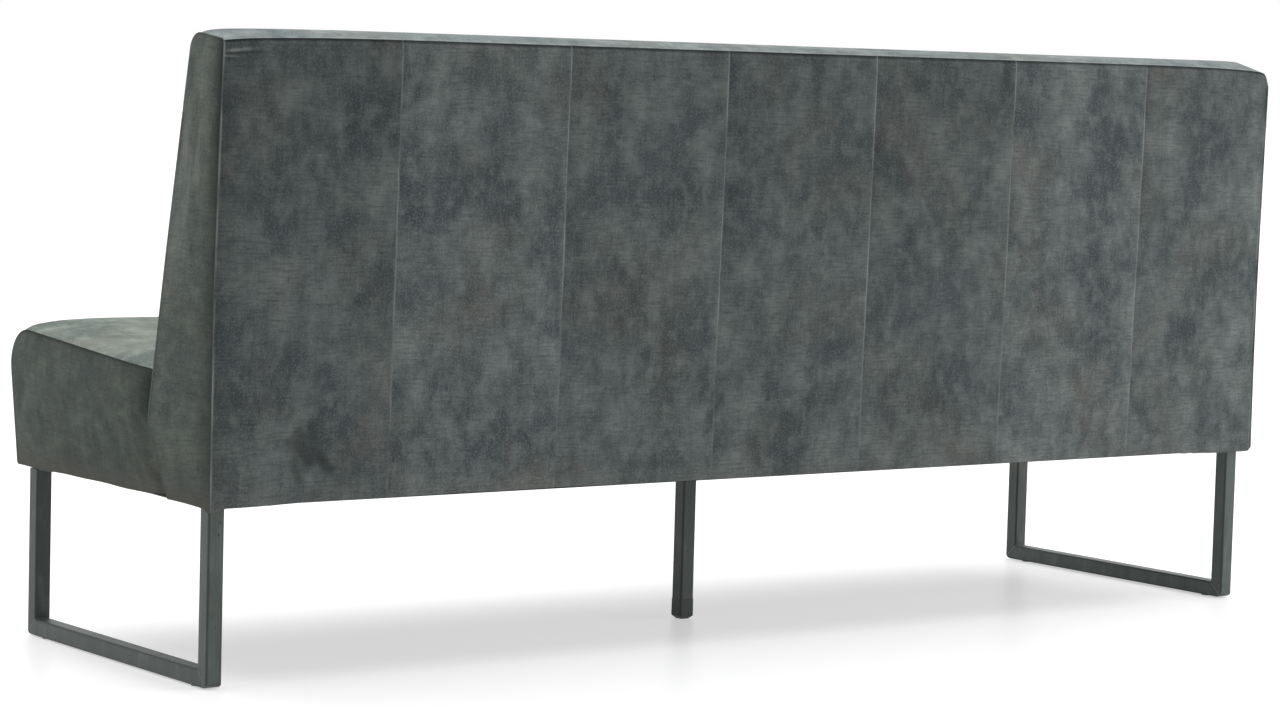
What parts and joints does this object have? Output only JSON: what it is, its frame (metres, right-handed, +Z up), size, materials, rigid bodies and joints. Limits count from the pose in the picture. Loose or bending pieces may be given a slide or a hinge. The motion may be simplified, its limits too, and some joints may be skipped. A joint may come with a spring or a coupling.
{
  "type": "upholstered dining bench",
  "caption": "Long upholstered dining bench with a tapered full-width backrest sewn from upright panels, on square-tube sled legs and a middle post.",
  "frame": {"origin": "on the floor under the middle of the bench", "axes": "+X along the bench to the sitter's left, -Y the way the sitter faces, +Z up"},
  "size_m": [2, 0.6363, 0.9082],
  "materials": {
    "velvet": "dark grey-green washed velvet with a cloudy pile",
    "coated_steel": "dark grey-green lacquered raw steel, satin",
    "zinc_fasteners": "zinc plated",
    "black_nylon": "moulded matt black",
    "webbing": "woven elastic webbing",
    "dust_cloth": "black non-woven dust cloth",
    "foam": "open-cell foam and wadding",
    "hardboard": "pressed hardboard",
    "timber": "sawn timber and plywood"
  },
  "bodies": {
    "root": {"back_bottom_rail": "timber", "back_dust_cover": "dust_cloth", "back_foam": "foam", "back_liner_board": "hardboard", "back_lower_rail": "timber", "back_middle_rail": "timber", "back_top_rail": "timber", "back_webbing": "webbing", "centre_cross_rail": "timber", "centre_rib": "timber", "connector_bolts": "zinc_fasteners", "connector_nuts": "zinc_fasteners", "floor_glides": "black_nylon", "inside_back_cover": "velvet", "left_back_side_cover": "velvet", "left_back_side_pad": "foam", "left_cross_rail": "timber", "left_end_rib": "timber", "left_floor_bar": "coated_steel", "left_front_leg_block": "timber", "left_front_leg_plate": "coated_steel", "left_front_upright": "coated_steel", "left_inner_rib": "timber", "left_rear_leg_block": "timber", "left_rear_leg_plate": "coated_steel", "left_rear_upright": "coated_steel", "left_seat_end_panel": "timber", "left_seat_side_cover": "velvet", "left_seat_side_pad": "foam", "leg_bolts": "zinc_fasteners", "leg_nuts": "zinc_fasteners", "middle_foot": "black_nylon", "middle_leg_block": "timber", "middle_leg_plate": "coated_steel", "middle_post": "coated_steel", "rear_cover_panels": "velvet", "rear_wadding": "foam", "right_back_side_cover": "velvet", "right_back_side_pad": "foam", "right_cross_rail": "timber", "right_end_rib": "timber", "right_floor_bar": "coated_steel", "right_front_leg_block": "timber", "right_front_leg_plate": "coated_steel", "right_front_upright": "coated_steel", "right_inner_rib": "timber", "right_rear_leg_block": "timber", "right_rear_leg_plate": "coated_steel", "right_rear_upright": "coated_steel", "right_seat_end_panel": "timber", "right_seat_side_cover": "velvet", "right_seat_side_pad": "foam", "seat_cover": "velvet", "seat_dust_cover": "dust_cloth", "seat_foam": "foam", "seat_front_rail": "timber", "seat_rear_rail": "timber", "seat_webbing": "webbing"}
  },
  "joints": []
}
